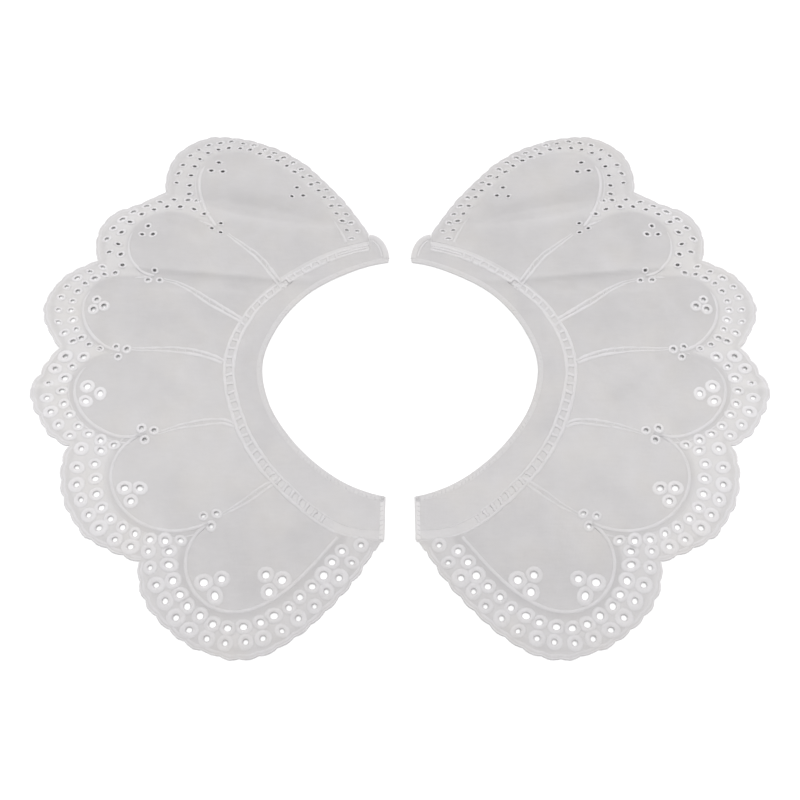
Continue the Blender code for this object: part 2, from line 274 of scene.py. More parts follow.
# ---- how the cloth lies: height of its upper face over the table, in millimetres ----
lie = {
    "ground": 0.40, "lowest": 0.34,                       # where it rests
    "backLift": 1.5, "backFrom": 30.0, "backTo": 95.0,    # the back petals stand off the table,
    "neckFrom": 86.0, "neckTo": 108.0,                    # rising outwards from the neck
    "edgeIn": 15.0,                                       # and come down to it at their edge
    "waves": [(0.16, 47.0, 61.0, 0.4), (0.1, 23.0, 31.0, 1.9)],    # height, two lengths, start
    "wholeWave": 6.28, "creaseStep": 6.0,
}
edgeRing = [p for k, petal in enumerate(petals)
            for p in ovalArc(petal.edge, notches[k], notches[k + 1], 20)]
Crease = namedtuple("Crease", "high left right points bend", defaults=[2.0])
creases = [    # ridges and troughs: half widths left and right of the direction; bend 1 is sharp
    Crease(1.0, 11.0, 8.0, [(-122, 126), (-98, 118), (-72, 110), (-48, 105)], 1.6),
    Crease(-3.0, 9.0, 6.0, [(-130, 113), (-112, 108), (-96, 104), (-72, 99), (-50, 95), (-34, 92)],
           1.25),
    Crease(0.6, 4.0, 7.0, [(-118, 101), (-92, 95), (-64, 90)]),
    Crease(1.5, 6.0, 1.8, [(-168, 66), (-131, 62.5), (-102, 60), (-68, 57), (-44, 56)], 1.2),
    Crease(0.9, 3.0, 14.0, [(-148, 50), (-124, 48), (-100, 49)]),
    Crease(-0.7, 9.0, 4.0, [(-136, 96), (-124, 90), (-110, 82)]),
    Crease(-0.5, 2.0, 2.0, [(-101, 52), (-93, 51.5), (-86, 52)]),
    Crease(0.8, 1.8, 2.4, [(-84, 32), (-85.5, 14), (-85, -6)], 1.4),
    Crease(0.6, 1.6, 2.0, [(-79.5, 38), (-81.5, 22), (-81.5, 8)], 1.4),
    Crease(0.7, 7.0, 5.0, [(-140, 8), (-118, -8), (-103, -16)]),
    Crease(0.6, 4.5, 3.5, [(-149, 52), (-148, 36), (-147, 19)]),
    Crease(0.5, 6.0, 6.0, [(-128, 40), (-118, 30), (-112, 18)]),
    Crease(0.9, 14.0, 16.0, [(-152, -38), (-124, -56), (-98, -64)]),
    Crease(0.8, 16.0, 14.0, [(-96, -100), (-72, -92), (-40, -84)]),
    Crease(0.9, 1.6, 2.6, [(-202, -8), (-194, -8.5), (-183, -6)]),
    Crease(-0.4, 2.0, 2.0, [(-200, -14), (-190, -16), (-182, -14)]),
    Crease(-0.8, 4.0, 3.0, [(-62, 61), (-48, 63.5), (-34, 68)]),
    # small rises where the petals meet and at the side tip
    Crease(0.9, 8.0, 8.0, [(-163, 13), (-152, 13), (-141, 14)]),
    Crease(0.9, 8.0, 8.0, [(-145, -35), (-134, -34), (-124, -33)]),
    Crease(0.5, 8.0, 8.0, [(-107, -82), (-97, -80), (-87, -78)]),
    Crease(0.8, 8.0, 8.0, [(-180, 38), (-169, 41), (-158, 45)]),
    Crease(0.7, 8.0, 9.0, [(-198, 0), (-186, 10), (-174, 22), (-166, 34)]),
]


def alongLine(points, x, y):
    # signed distance to a line, left of it positive, and the place along it from 0 to 1
    total, run = lengthOf(points), 0.0
    nearest = np.full(x.shape, 1e9)
    side, place = np.zeros(x.shape), np.zeros(x.shape)
    for (ax, ay), (bx, by) in zip(points, points[1:]):
        dx, dy = bx - ax, by - ay
        size = math.hypot(dx, dy)
        t = np.clip(((x - ax) * dx + (y - ay) * dy) / size ** 2, 0, 1)
        gx, gy = x - ax - t * dx, y - ay - t * dy
        away = np.hypot(gx, gy)
        closer = away < nearest
        nearest = np.where(closer, away, nearest)
        side = np.where(closer, np.sign(dx * gy - dy * gx), side)
        place = np.where(closer, (run + t * size) / total, place)
        run += size
    return nearest * side, place


def rise(t):
    t = np.clip(t, 0, 1)
    return t * t * (3 - 2 * t)


def heights(x, y):
    x, y = np.asarray(x, float), np.asarray(y, float)
    back = rise((y - lie["backFrom"]) / (lie["backTo"] - lie["backFrom"]))
    out = rise((np.hypot(x, y) - lie["neckFrom"]) / (lie["neckTo"] - lie["neckFrom"]))
    inside = rise(np.abs(alongLine(edgeRing, x, y)[0]) / lie["edgeIn"])
    z = lie["ground"] + lie["backLift"] * back * out * inside
    for high, alongX, alongY, start in lie["waves"]:
        z = z + high * (1 + np.sin(x / alongX * lie["wholeWave"] + start)
                        * np.cos(y / alongY * lie["wholeWave"] + start)) / 2
    for crease in creases:
        away, place = alongLine(softLine(crease.points, lie["creaseStep"]), x, y)
        width = np.where(away > 0, crease.left, crease.right)
        z = z + (crease.high * np.exp(-np.abs(away / width) ** crease.bend)
                 * np.sin(np.pi * place) ** 0.7)
    return np.maximum(z, lie["lowest"])


def laid(line, lift):
    # the line on the cloth, lifted over it
    return [(p[0], p[1], z + lift) for p, z in zip(line, heights(*axes(line)).tolist())]


def within(ring, x, y):
    hit = np.zeros(x.shape, bool)
    for (ax, ay), (bx, by) in zip(ring, ring[1:] + ring[:1]):
        if ay != by:
            hit ^= ((ay > y) != (by > y)) & (x < ax + (y - ay) / (by - ay) * (bx - ax))
    return hit


# ---- nodes: one function adds a node with its settings and links ----
def addNode(tree, kind, values=None, **settings):
    node = tree.nodes.new(kind)
    for key, value in settings.items():
        setattr(node, key, value)
    for socket, value in (values or {}).items():
        if isinstance(value, bpy.types.NodeSocket):
            tree.links.new(value, node.inputs[socket])
        else:
            node.inputs[socket].default_value = value
    return node


def made(tree, kind, values=None, **settings):
    return addNode(tree, kind, values, **settings).outputs[0]


def maths(tree, operation, *values):
    return made(tree, "ShaderNodeMath", dict(enumerate(values)), operation=operation)


def vectors(tree, operation, *values):
    return made(tree, "ShaderNodeVectorMath", dict(enumerate(values)), operation=operation)


def noise(tree, place, scale, detail=2.0, **more):
    return addNode(tree, "ShaderNodeTexNoise",
                   {"Vector": place, "Scale": scale, "Detail": detail, **more}).outputs["Fac"]


def spread(tree, value, low, high, **more):
    # the value between low and high, spread from 0 to 1
    return addNode(tree, "ShaderNodeMapRange",
                   {"Value": value, "From Min": low, "From Max": high, **more}).outputs["Result"]


def blend(tree, share, first, second, **settings):
    return addNode(tree, "ShaderNodeMix", {"Factor": share, 6: first, 7: second},
                   data_type="RGBA", **settings).outputs[2]


def marked(tree, name):
    return addNode(tree, "ShaderNodeAttribute", attribute_name=name).outputs["Fac"]


def bumped(tree, strength, depth, height, **more):
    return made(tree, "ShaderNodeBump", {"Strength": strength, "Distance": depth * mm,
                                         "Height": height, **more})


def linear(code):
    # sRGB hex to linear colour
    channels = [int(code[i:i + 2], 16) / 255 for i in (1, 3, 5)]
    return tuple(c / 12.92 if c <= 0.04045 else ((c + 0.055) / 1.055) ** 2.4
                 for c in channels) + (1.0,)


def newMaterial(name, **finish):
    material = bpy.data.materials.new(name)
    material.use_nodes = True
    shader = material.node_tree.nodes["Principled BSDF"]
    for socket, value in finish.items():
        shader.inputs[socket.replace("_", " ")].default_value = value
    return material, material.node_tree, shader


def finishCotton(tree, shader, place, color, normal):
    # old cotton yellows faintly and unevenly, in patches of 20 to 30 mm
    share = spread(tree, noise(tree, place, 38.0), 0.45, 0.75, **{"To Max": 0.55})
    aged = blend(tree, share, color, (1.0, 0.985, 0.945, 1.0), blend_type="MULTIPLY")
    tree.links.new(aged, shader.inputs["Base Color"])
    tree.links.new(normal, shader.inputs["Normal"])


# light passes about a millimetre into white cotton
lightWithin = {"Subsurface_Weight": 0.3, "Subsurface_Scale": 1.0 * mm,
               "Subsurface_Radius": (1.0, 1.0, 1.0)}


def cottonLawn(name, light, shade, border, groove):
    # bleached cotton lawn, plain woven from fine combed yarn: matt, with a dry soft sheen
    material, tree, shader = newMaterial(name, Roughness=0.88, Sheen_Weight=0.15,
                                         Sheen_Roughness=0.5, Specular_IOR_Level=0.25,
                                         **lightWithin)
    place = addNode(tree, "ShaderNodeTexCoord").outputs["Object"]
    # yarns lie 0.3 mm apart; drawn 0.7 mm apart so that they show
    wave = {"Vector": place, "Scale": 2 * math.pi / 20 / (0.7 * mm), "Distortion": 1.5,
            "Detail": 2.0, "Detail Scale": 0.6, "Detail Roughness": 0.6}
    weave = maths(tree, "MULTIPLY", *[
        addNode(tree, "ShaderNodeTexWave", wave, wave_type="BANDS",
                bands_direction=direction).outputs["Fac"] for direction in ("X", "Y")])
    # cloudy unevenness of the pressed cloth, in patches of about 25 mm
    clouds = noise(tree, place, 40.0, 3.0, Roughness=0.55)
    # slubs: thicker stretches of yarn, 1.5 mm by 6 mm
    long = made(tree, "ShaderNodeMapping", {"Vector": place, "Scale": (170.0, 640.0, 300.0)})
    slubs = maths(tree, "MULTIPLY_ADD", noise(tree, long, 1.0), 0.25, clouds)
    tone = spread(tree, slubs, 0.4, 0.85)
    cloth = blend(tree, tone, linear(shade), linear(light))
    # where embroidery packs the cloth it is paler, and the petals' fields are paler by petal as
    # listed; in the grooves beside the outlines, inside the satin edge and along the hem's fold it
    # is greyer: painted shade
    packed = blend(tree, marked(tree, "border"), cloth, linear(border))
    color = blend(tree, marked(tree, "groove"), packed, linear(groove))
    crumpled = bumped(tree, 0.35, 0.6, noise(tree, place, 130.0, 3.0),
                      Normal=bumped(tree, 0.25, 0.1, weave))
    finishCotton(tree, shader, place, color, crumpled)
    return material


def embroideryThread(name, light, shade, ground, packed):
    # mercerised two-ply cotton laid in satin stitch: closer and smoother, so paler than the lawn
    material, tree, shader = newMaterial(name, Roughness=0.62, Sheen_Weight=0.2,
                                         Sheen_Roughness=0.4, Specular_IOR_Level=0.35,
                                         **lightWithin)
    place = addNode(tree, "ShaderNodeTexCoord").outputs["Object"]
    # the attribute counts stitches; each is one ridge, drawn about 0.6 mm wide for 0.35 mm
    drift = maths(tree, "MULTIPLY_ADD", noise(tree, place, 900.0, 1.0), 0.35,
                  marked(tree, "stitch"))
    ridge = maths(tree, "SINE", maths(tree, "MULTIPLY", drift, 2 * math.pi))
    high = spread(tree, ridge, -1.0, 1.0)
    # the colour follows the stitches too: painted shade between them and a lighter crest on each,
    # with random patches
    stitchShadeAndPatches = maths(tree, "MULTIPLY_ADD", high, 0.35, noise(tree, place, 220.0))
    thread = blend(tree, spread(tree, stitchShadeAndPatches, 0.35, 0.95), linear(shade), linear(light))
    # closely packed stitches are paler, and the last ones thin out into the cloth; there the ground
    # colour, greyer than the border cloth round the rims, also paints shade at each rim's foot
    paler = blend(tree, marked(tree, "packed"), thread, linear(packed))
    color = blend(tree, marked(tree, "fade"), paler, linear(ground))
    finishCotton(tree, shader, place, color, bumped(tree, 0.5, 0.1, high))
    return material


# the last colour of each lawn is painted shade, for its grooves and folds
lawn = cottonLawn("pressedCottonLawn", "#C9C7C8", "#BFBDBE", "#D9D7D7", "#B4B2B3")
bandLawn = cottonLawn("neckbandCottonLawn", "#CBC9CA", "#C2C0C1", "#DAD8D9", "#BEBCBD")
# the third colour is the ground the rims' feet blend into, greyer than the border cloth: painted
# shade round each rim
satinThread = embroideryThread("mercerisedSatinStitch", "#D2D0D2", "#C7C5C6", "#C0BEBF", "#E2E0E2")
cordThread = embroideryThread("mercerisedCordedStitch", "#D0CED0", "#C7C5C6", "#C0BEBF", "#E0DEE0")
netThread = cottonLawn("ladderCottonNet", "#D1CFD0", "#C9C7C8", "#DBD9DA", "#BEBCBD")

# how pale the cloth and the threads are, from the front petal round to the back one
pale = {
    "bearings": [-52, -24, -2, 15, 32, 54],
    "border": [0.2, 0.72, 0.9, 0.73, 0.62, 0.32], "field": [0.0, 0.28, 0.25, 0.1, 0.1, 0.1],
    "rims": [0.15, 0.7, 1.0, 0.95, 0.95, 0.6], "threads": [0.0, 0.25, 0.35, 0.45, 0.45, 0.35],
    # grooves: share of painted shade in the grooves beside the corded outlines, by petal
    "edge": [0.0, 0.4, 0.55, 0.45, 0.4, 0.15], "grooves": [0.4, 0.15, 0.3, 0.0, 0.0, 0.0],
    # width and depth of the groove beside a corded outline
    "bays": [3.6, 1.4, 2.0, 0.2, 0.2, 0.8], "deep": [1.0, 0.7, 1.0, 0.4, 0.5, 0.7],
}


def roundabout(name, x, y):
    return np.interp(np.degrees(np.arctan2(y, -x)), pale["bearings"], pale[name])


# ---- meshes of both halves ----
def put(name, data):
    thing = bpy.data.objects.new(name, data)
    bpy.context.scene.collection.objects.link(thing)
    return thing


def addPiece(name, mesh, node=None):
    # the left mesh and its mirror image, each riding on the collar
    pieces = []
    for side in ("Left", "Right"):
        half = mesh if side == "Left" else mesh.copy()
        if side == "Right":
            half.transform(Matrix.Scale(-1, 4, (1, 0, 0)))
            half.flip_normals()
        half.name = name + side
        piece = put(name + side, half)
        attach(piece, "root")
        if node:
            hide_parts(node + "_" + side.lower())
        pieces.append(piece)
    print(name, "with", len(mesh.polygons), "faces a half")
    return pieces


def rawMesh(name, coords, edges, faces, middle=0.0):
    mesh = bpy.data.meshes.new(name)
    mesh.from_pydata([(x * mm, (y - middle) * mm, z * mm) for x, y, z in coords], edges, faces)
    return mesh


def makeMesh(name, coords, faces, material, sharp):
    # smooth but for edges sharper than the angle
    mesh = rawMesh(name, coords, [], faces, middleY)
    mesh.materials.append(material)
    mesh.polygons.foreach_set("use_smooth", [True] * len(mesh.polygons))
    mesh.update()
    mesh.set_sharp_from_angle(angle=math.radians(sharp))
    return mesh


def addFloats(mesh, name, values, domain="POINT"):
    mesh.attributes.new(name, "FLOAT", domain).data.foreach_set("value", list(values))


def addPacked(mesh, tone, points):
    addFloats(mesh, "packed", roundabout(tone, *axes(points)).tolist())


def latticePoints(ring, spacing):
    # even triangle grid over the ring's box
    xs, ys = axes(ring)
    points, y, odd = [], ys.min(), 0
    while y < ys.max():
        x = xs.min() + odd * spacing / 2
        while x < xs.max():
            points.append((float(x), float(y)))
            x += spacing
        y += spacing * math.sqrt(3) / 2
        odd = 1 - odd
    return points


def treeOf(points):
    tree = KDTree(len(points))
    for i, p in enumerate(points):
        tree.insert((p[0], p[1], 0.0), i)
    tree.balance()
    return tree


clear = {"hole": 0.4, "point": 0.6}    # kept between grid and drawn points, in grid spacings


def clothShell(name, outline, holes, rows, spacing, topOf, thick, material, tones):
    # one closed sheet over the lie of the cloth, with its holes cut through
    points, rings, owner = list(outline), [list(range(len(outline)))], [0] * len(outline)
    for number, hole in enumerate(holes, 1):
        rings.append(list(range(len(points), len(points) + len(hole))))
        points += hole
        owner += [number] * len(hole)
    points += rows
    fixed = treeOf(points)
    grid = latticePoints(outline, spacing)
    gx, gy = axes(grid)
    inner = within(outline, gx, gy)
    for hole in holes:
        cx, cy = sum(p[0] for p in hole) / len(hole), sum(p[1] for p in hole) / len(hole)
        inner &= np.hypot(gx - cx, gy - cy) > math.dist((cx, cy), hole[0]) + spacing * clear["hole"]
    points += [p for p, good in zip(grid, inner)
               if good and fixed.find((p[0], p[1], 0.0))[2] > spacing * clear["point"]]
    owner += [-1] * (len(points) - len(owner))
    edges = [(ring[i], ring[(i + 1) % len(ring)]) for ring in rings for i in range(len(ring))]
    result = delaunay_2d_cdt([Vector(p) for p in points], edges, [], 0, 1e-6)
    source = [min(ids) if ids else -1 for ids in result[3]]
    triangles = np.array([[source[i] for i in face] for face in result[2]])
    triangles = triangles[triangles.min(1) >= 0]
    corners, places = np.array(owner)[triangles], np.array([p[:2] for p in points])
    hollow = (corners[:, 0] > 0) & (corners.min(1) == corners.max(1))    # all in one hole
    middles = places[triangles].mean(1)
    triangles = triangles[~hollow & within(outline, middles[:, 0], middles[:, 1])]
    used = sorted(set(triangles.flatten().tolist()))
    new = {old: i for i, old in enumerate(used)}
    places = places[used]
    xs, ys = places[:, 0], places[:, 1]
    top, count = heights(xs, ys) + topOf(xs, ys), len(used)
    coords = [(x, y, z - drop) for drop in (thick, 0.0)
              for (x, y), z in zip(places.tolist(), top.tolist())]
    faces = [(new[c], new[b], new[a]) for a, b, c in triangles.tolist()]
    faces += [(new[a] + count, new[b] + count, new[c] + count) for a, b, c in triangles.tolist()]
    for ring in rings:
        for i, old in enumerate(ring):
            a, b = new[old], new[ring[(i + 1) % len(ring)]]
            faces.append((a, b, b + count, a + count))
    mesh = makeMesh(name, coords, faces, material, sharp=40)
    for label, tone in tones.items():
        addFloats(mesh, label, tone(xs, ys).astype(float).tolist() * 2)
    return mesh


def stripMesh(name, lines, material, pitch=0.6):
    # a padded strip between lines of stations, each line of points (x, y, z)
    stations, sides = len(lines[0]), len(lines)
    coords = [p for line in lines for p in line]
    faces = []
    for k in range(sides):
        here, after = k * stations, (k + 1) % sides * stations
        faces += [(here + i, here + i + 1, after + i + 1, after + i) for i in range(stations - 1)]
    faces.append(tuple(k * stations for k in range(sides)))
    faces.append(tuple(k * stations + stations - 1 for k in reversed(range(sides))))
    mesh = makeMesh(name, coords, faces, material, sharp=60)
    run = [0.0]
    for p, q in zip(lines[0], lines[0][1:]):
        run.append(run[-1] + math.dist(p, q) / pitch)
    addFloats(mesh, "stitch", run * sides)
    addPacked(mesh, "edge", coords)
    return mesh


def joined(name, meshes):
    # several meshes as one
    pieces = [put(name, mesh) for mesh in meshes]
    with bpy.context.temp_override(active_object=pieces[0], selected_editable_objects=pieces):
        bpy.ops.object.join()
    mesh = pieces[0].data
    bpy.data.objects.remove(pieces[0])
    return mesh


# ---- eyelets ----
eyelet = {
    "cutWider": 1.12,         # the cloth is cut a little wider than the hole that shows
    "sides": 12,
    "shows": [0.94, 0.92, 0.9, 0.94, 0.96, 0.96],    # of the cut hole inside the rim, by petal
    "flat": [0.62, 0.64, 0.76, 0.84, 0.9, 0.97],     # height of a hole to its width, by petal
    "outerHole": 0.8,         # holes of the front petals' outer rows, under wider rims
    "rims": 2.4,              # room that a rim takes, in hole radii
    "backSmaller": 0.15, "backFlatter": 0.32,        # groups of three towards the back
    "sizes": (0.86, 1.06), "heights": (0.88, 1.05), "stray": 0.55, "seed": 12,
    "broadFrom": 3.0, "partings": 8,         # size with broad rims; rounds of moving apart
}
Group = namedtuple("Group", "x y turn spread hole")
groups = [    # three eyelets each: in the petal tips, then where the petals meet
    Group(-108.2, 130.5, 84, 4.0, 2.6), Group(-60.3, 113.5, 95, 3.8, 2.4),
    Group(-145.7, 87.8, 91, 3.6, 2.6), Group(-169.3, 41.2, -11, 3.5, 2.6),
    Group(-167.2, -11.6, 1, 4.9, 3.2), Group(-139.5, -66.5, 29, 4.6, 3.4),
    Group(-93.7, -114.5, 42, 5.2, 3.9), Group(-64.2, -112.8, 13, 5.0, 3.8),
    Group(-105.4, 90.1, 62, 3.4, 2.2), Group(-139.4, 58.7, 88, 3.8, 2.3),
    Group(-153.8, 13.2, 17, 3.6, 2.3), Group(-134.7, -34.1, 20, 4.0, 2.4),
    Group(-97.6, -80.3, 40, 4.0, 2.4),
]
Eyelet = namedtuple("Eyelet", "x y wide tall form")
fillers = [Eyelet(-158.0, 66.0, 2.4, 1.7, "fine"), Eyelet(-119.0, 109.0, 2.4, 1.7, "fine")]


def eyeletPlaces():
    # middle, width and height of each hole, set a little out of true as by hand
    draw = random.Random(eyelet["seed"])
    found = []
    for k, (edge, line, row, _) in enumerate(petals):
        hub = (row.hubX, row.hubY)
        rings = [[ovalPoint(oval, 2 * math.pi * i / 360) for i in range(361)]
                 for oval in (line, edge)]
        behind = k < cut["backPetals"]
        forms = ("fine", "fine") if behind else ("broad", "wide")
        courses = [(cut["innerShare"], row.inners, row.inA, row.inB, forms[0]),
                   (cut["outerShare"], row.outers, row.outA, row.outB, forms[1])]
        for share, count, start, end, form in courses:
            dense = []
            for i in range(81):
                angle = math.radians(start + (end - start) * i / 80)
                near, far = (rayTo(ring, hub, angle) for ring in rings)
                reach = near + share * (far - near)
                dense.append((hub[0] + reach * math.cos(angle), hub[1] + reach * math.sin(angle)))
            for x, y in spaced(dense, count):
                size = row.hole * eyelet["shows"][k] * draw.uniform(*eyelet["sizes"])
                size *= eyelet["outerHole"] if form == "wide" else 1.0
                found.append(Eyelet(x + draw.uniform(-1, 1) * eyelet["stray"],
                                    y + draw.uniform(-1, 1) * eyelet["stray"],
                                    size, size * eyelet["flat"][k]
                                    * draw.uniform(*eyelet["heights"]), form))
    for group in groups:
        back = float(rise((group.y - lie["backFrom"]) / (lie["backTo"] - lie["backFrom"])))
        size = group.hole * (1 - eyelet["backSmaller"] * back)
        for i in range(3):
            a = math.radians(group.turn + 120 * i)
            found.append(Eyelet(group.x + group.spread * math.cos(a),
                                group.y + group.spread * math.sin(a), size,
                                size * (1 - eyelet["backFlatter"] * back),
                                "broad" if group.hole > eyelet["broadFrom"] else "fine"))
    return apart(found + fillers)


def apart(holes):
    # eyelets whose rims would cover a neighbour's hole are moved away from each other
    places = [[hole.x, hole.y] for hole in holes]
    for _ in range(eyelet["partings"]):
        for i, a in enumerate(holes):
            for j, b in enumerate(holes[:i]):
                room = eyelet["rims"] * max(a.wide, b.wide) / 2 + min(a.wide, b.wide) / 2
                away = math.dist(places[i], places[j])
                if away < room:
                    for axis in (0, 1):
                        push = (places[i][axis] - places[j][axis]) / away * (room - away) / 2
                        places[i][axis] += push
                        places[j][axis] -= push
    return [hole._replace(x=x, y=y) for hole, (x, y) in zip(holes, places)]


eyelets = eyeletPlaces()
turns = [-2 * math.pi * i / eyelet["sides"] for i in range(eyelet["sides"])]
cutRings = [[(hole.x + hole.wide / 2 * eyelet["cutWider"] * math.cos(a),
              hole.y + hole.tall / 2 * eyelet["cutWider"] * math.sin(a)) for a in turns]
            for hole in eyelets]
print(len(eyelets), "eyelets a half")

# ---- the embroidered panel ----
panel = {
    "spacing": 1.5, "thick": 0.3,
    # offset from the corded outline, outwards, and height of the ground there
    "grooves": [(-2.4, 0.0), (-1.2, -0.04), (0.0, 0.0), (1.3, -0.1), (2.6, -0.13), (3.6, -0.06),
                (4.6, 0.0)],
    # painted shade in the groove outside a corded outline: offset outwards and its share
    "paintedGrooveShade": [(0.6, 0.0), (1.2, 0.8), (2.8, 0.8), (3.8, 0.4), (4.8, 0.0)],
    "edgeShade": [(2.4, 0.0), (3.4, 0.25), (5.0, 0.25), (6.5, 0.0)],    # painted shade in the groove inside the satin edge: distance from the edge and its share
    "proud": 0.12,                           # the stiffer border over the plain petals
    "rowStep": 1.5, "edgeIn": 0.35,
    "holeRoom": 0.25, "edgeRoom": 0.5,       # kept free of the grooves' points
    "stations": 140, "fades": 40,            # a groove fades out over a 40th of its line
    "paleFrom": 0.4, "paleOver": 1.2,        # from the corded outline into the border
}
panelOutline = moved(edgeLine, -panel["edgeIn"])
panelOutline[0], panelOutline[-1] = edgeLine[0], edgeLine[-1]
panelOutline += ladderLine(cut["ladderWide"] / 2 - cut["lap"], cut["cornerX"], cut["backX"],
                            panel["stations"])
eyeletTree, outlineTree = treeOf(eyelets), treeOf(panelOutline)


def groovePoint(p):
    # whether the point is clear of the eyelets and of the panel's edge
    _, i, away = eyeletTree.find((p[0], p[1], 0.0))
    return (away > eyelets[i].wide / 2 * eyelet["cutWider"] + panel["holeRoom"]
            and outlineTree.find((p[0], p[1], 0.0))[2] > panel["edgeRoom"])


grooveRows = []
for line in outlines:
    middle = spaced(line, round(lengthOf(line) / panel["rowStep"]), False)
    for offset, _ in panel["grooves"]:
        grooveRows += [p for p in moved(middle, offset) if groovePoint(p)]
grooveRows = [p for p, good in zip(grooveRows, within(panelOutline, *axes(grooveRows))) if good]


def panelRelief(x, y):
    # the groove beside each corded outline, and the stiffer border a little proud
    z = np.where(within(fieldRing, x, y), 0.0, panel["proud"])
    offsets, depths = zip(*panel["grooves"])
    for line, strength in zip(outlines, strengths):
        away, place = alongLine(line[::4], x, y)
        ends = np.clip(np.minimum(place, 1 - place) * panel["fades"], 0, 1)
        z = z + (np.interp(-away, offsets, depths, left=0.0, right=0.0) * ends
                 * valuesAt(place, strength) * roundabout("deep", x, y))
    return z


def outwards(x, y):
    # distance outwards from the nearest corded outline, negative in the petals, and its strength
    nearest, strong = np.full(x.shape, 1e9), np.zeros(x.shape)
    for line, strength in zip(outlines, strengths):
        away, place = alongLine(line[::6], x, y)
        closer = np.abs(away) < np.abs(nearest)
        nearest = np.where(closer, -away, nearest)
        strong = np.where(closer, valuesAt(place, strength), strong)
    return nearest, strong


def paleness(x, y):
    border, field = roundabout("border", x, y), roundabout("field", x, y)
    away, strong = outwards(x, y)
    start = panel["paleFrom"] + roundabout("bays", x, y) * strong
    share = np.clip((away - start) / panel["paleOver"], 0, 1)
    share = np.where(within(fieldRing, x, y), 0.0, share)
    return field + (border - field) * share


def paintedGrooveShade(x, y):
    # painted shade: how grey the cloth is made in the groove outside each corded outline and in the
    # groove inside the satin edge
    away, strong = outwards(x, y)
    tone = np.interp(away, *zip(*panel["paintedGrooveShade"])) * roundabout("grooves", x, y) * strong
    tone = np.where(within(fieldRing, x, y), 0.0, tone)
    return np.maximum(tone, np.interp(np.abs(alongLine(edgeRing, x, y)[0]),
                                      *zip(*panel["edgeShade"])))


panelMesh = clothShell("lawnPanel", panelOutline, cutRings, grooveRows, panel["spacing"],
                       panelRelief, panel["thick"], lawn,
                       {"border": paleness, "groove": paintedGrooveShade})
panels = addPiece("lawnPanel", panelMesh, "panel")

# ---- satin edge: buttonhole stitches over the scallops ----
satinEdge = {
    "over": 0.1, "pitch": 0.62,
    "inWaves": 0.55,         # how far the inner foot follows the scallops
    # across the strip, inner foot to outer foot: share of its width, height over the cloth
    "section": [(0.0, 0.06), (0.22, 0.17), (0.46, 0.16), (0.62, 0.05), (0.78, 0.27), (0.92, 0.2),
                (1.0, -0.08), (0.98, -0.3), (0.05, -0.3)],
}


def satinStrip(petal, k):
    base, outer, lifts = scallopLines(petal, k)
    outer = moved(outer, satinEdge["over"])
    inner = moved(base, [-petal.satin + satinEdge["inWaves"] * cut["scallopDeep"] * lift
                         for lift in lifts])
    lines = [laid(between(inner, outer, [share] * len(inner)), lift)
             for share, lift in reversed(satinEdge["section"])]
    return stripMesh("satinEdge", lines, satinThread, satinEdge["pitch"])


addPiece("satinEdge", joined("satinEdge", [satinStrip(petal, k)
                                           for k, petal in enumerate(petals)]))


# ---- Geometry Nodes: what repeats or follows a line ----
def newTree(name, **sockets):
    # the names of its inputs, by kind
    tree = bpy.data.node_groups.new(name, "GeometryNodeTree")
    for way in ("INPUT", "OUTPUT"):
        tree.interface.new_socket("Geometry", in_out=way, socket_type="NodeSocketGeometry")
    for kind, labels in sockets.items():
        for label in labels.split():
            tree.interface.new_socket(label, in_out="INPUT", socket_type="NodeSocket" + kind)
    return tree, addNode(tree, "NodeGroupInput").outputs


def vector(tree, x=0.0, y=0.0, z=0.0):
    return made(tree, "ShaderNodeCombineXYZ", {"X": x, "Y": y, "Z": z})


threads = {"lowest": 0.03, "step": 1.0, "pitch": 0.6, "sides": 8, "uneven": 0.25,
           # grain of the noise that moves a thread and that swells it, for each metre
           "stirs": 120.0, "swells": 260.0, "sideways": (1.0, 1.0, 0.1)}


def endTree(tree, geometry, material):
    whole = made(tree, "GeometryNodeRealizeInstances", {"Geometry": geometry})
    # the underside of a thread that would dip into the table is flattened on it
    parts = addNode(tree, "ShaderNodeSeparateXYZ",
                    {"Vector": made(tree, "GeometryNodeInputPosition")}).outputs
    above = vector(tree, parts["X"], parts["Y"],
                   maths(tree, "MAXIMUM", parts["Z"], threads["lowest"] * mm))
    flat = made(tree, "GeometryNodeSetPosition", {"Geometry": whole, "Position": above})
    smooth = made(tree, "GeometryNodeSetShadeSmooth", {"Geometry": flat})
    dressed = made(tree, "GeometryNodeSetMaterial", {"Geometry": smooth, "Material": material})
    addNode(tree, "NodeGroupOutput", {"Geometry": dressed})
    return tree


